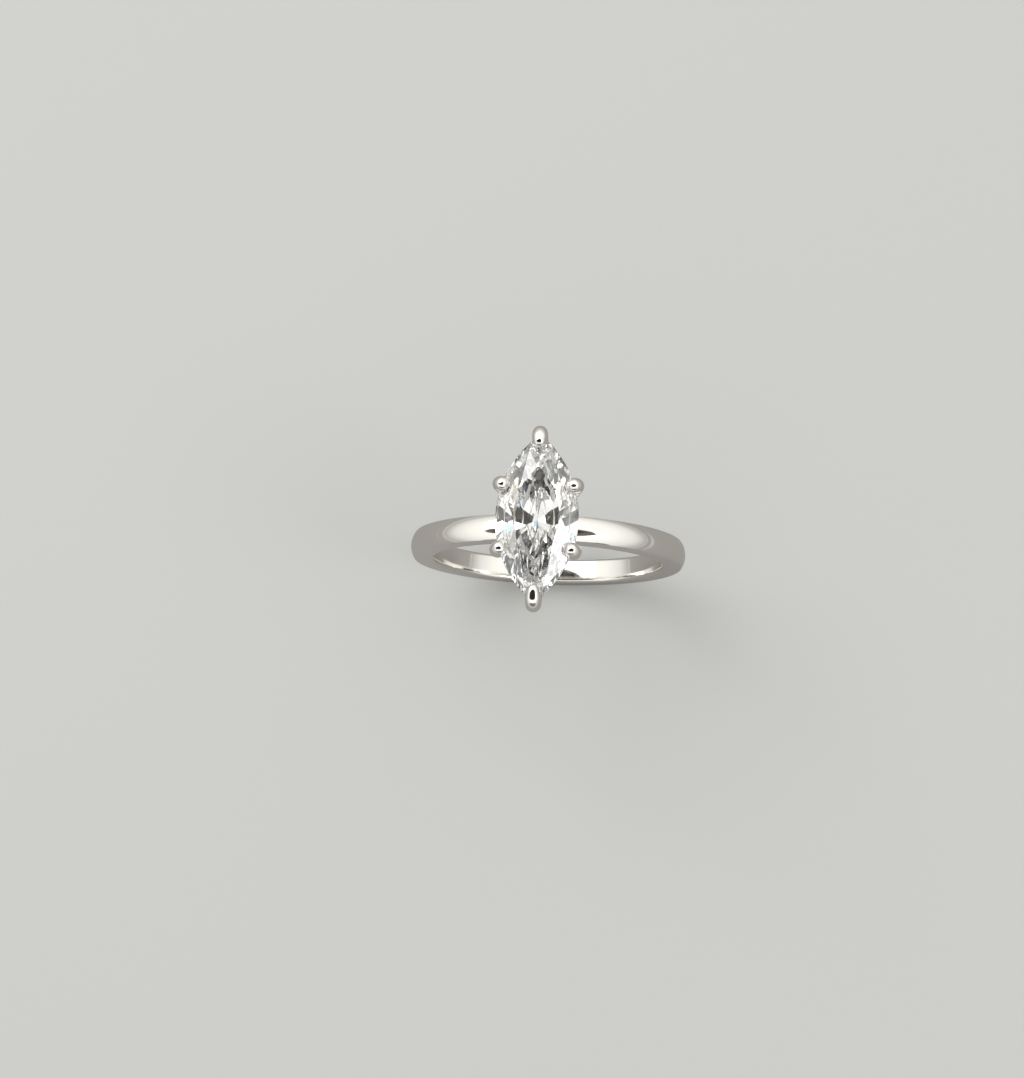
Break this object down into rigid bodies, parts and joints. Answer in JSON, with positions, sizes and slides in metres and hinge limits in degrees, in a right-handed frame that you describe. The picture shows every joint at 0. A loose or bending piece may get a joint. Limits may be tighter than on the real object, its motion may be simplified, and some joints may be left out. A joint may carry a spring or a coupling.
{
  "type": "marquise solitaire engagement ring",
  "caption": "White-metal ring with a D-section band and a marquise diamond raised in a claw head with gallery rails and a peg.",
  "frame": {"origin": "centre of the finger hole, midway between the band's two flat sides", "axes": "+Y along the finger hole's axis, which is also the stone's long axis; +Z from the hole's centre up through the stone; the band is a hoop in the XZ plane"},
  "size_m": [0.0198, 0.0122, 0.0238],
  "materials": {
    "polished_shank": "polished white gold with fine wear scratches",
    "polished_head": "bright polished white gold",
    "diamond": "faceted, near colourless"
  },
  "bodies": {
    "root": {"shank": "polished_shank", "peg_plate": "polished_head", "lower_gallery_rail": "polished_head", "upper_gallery_rail": "polished_head", "north_claw": "polished_head", "south_claw": "polished_head", "north_east_claw": "polished_head", "north_west_claw": "polished_head", "south_east_claw": "polished_head", "south_west_claw": "polished_head", "marquise_diamond": "diamond"}
  },
  "joints": []
}
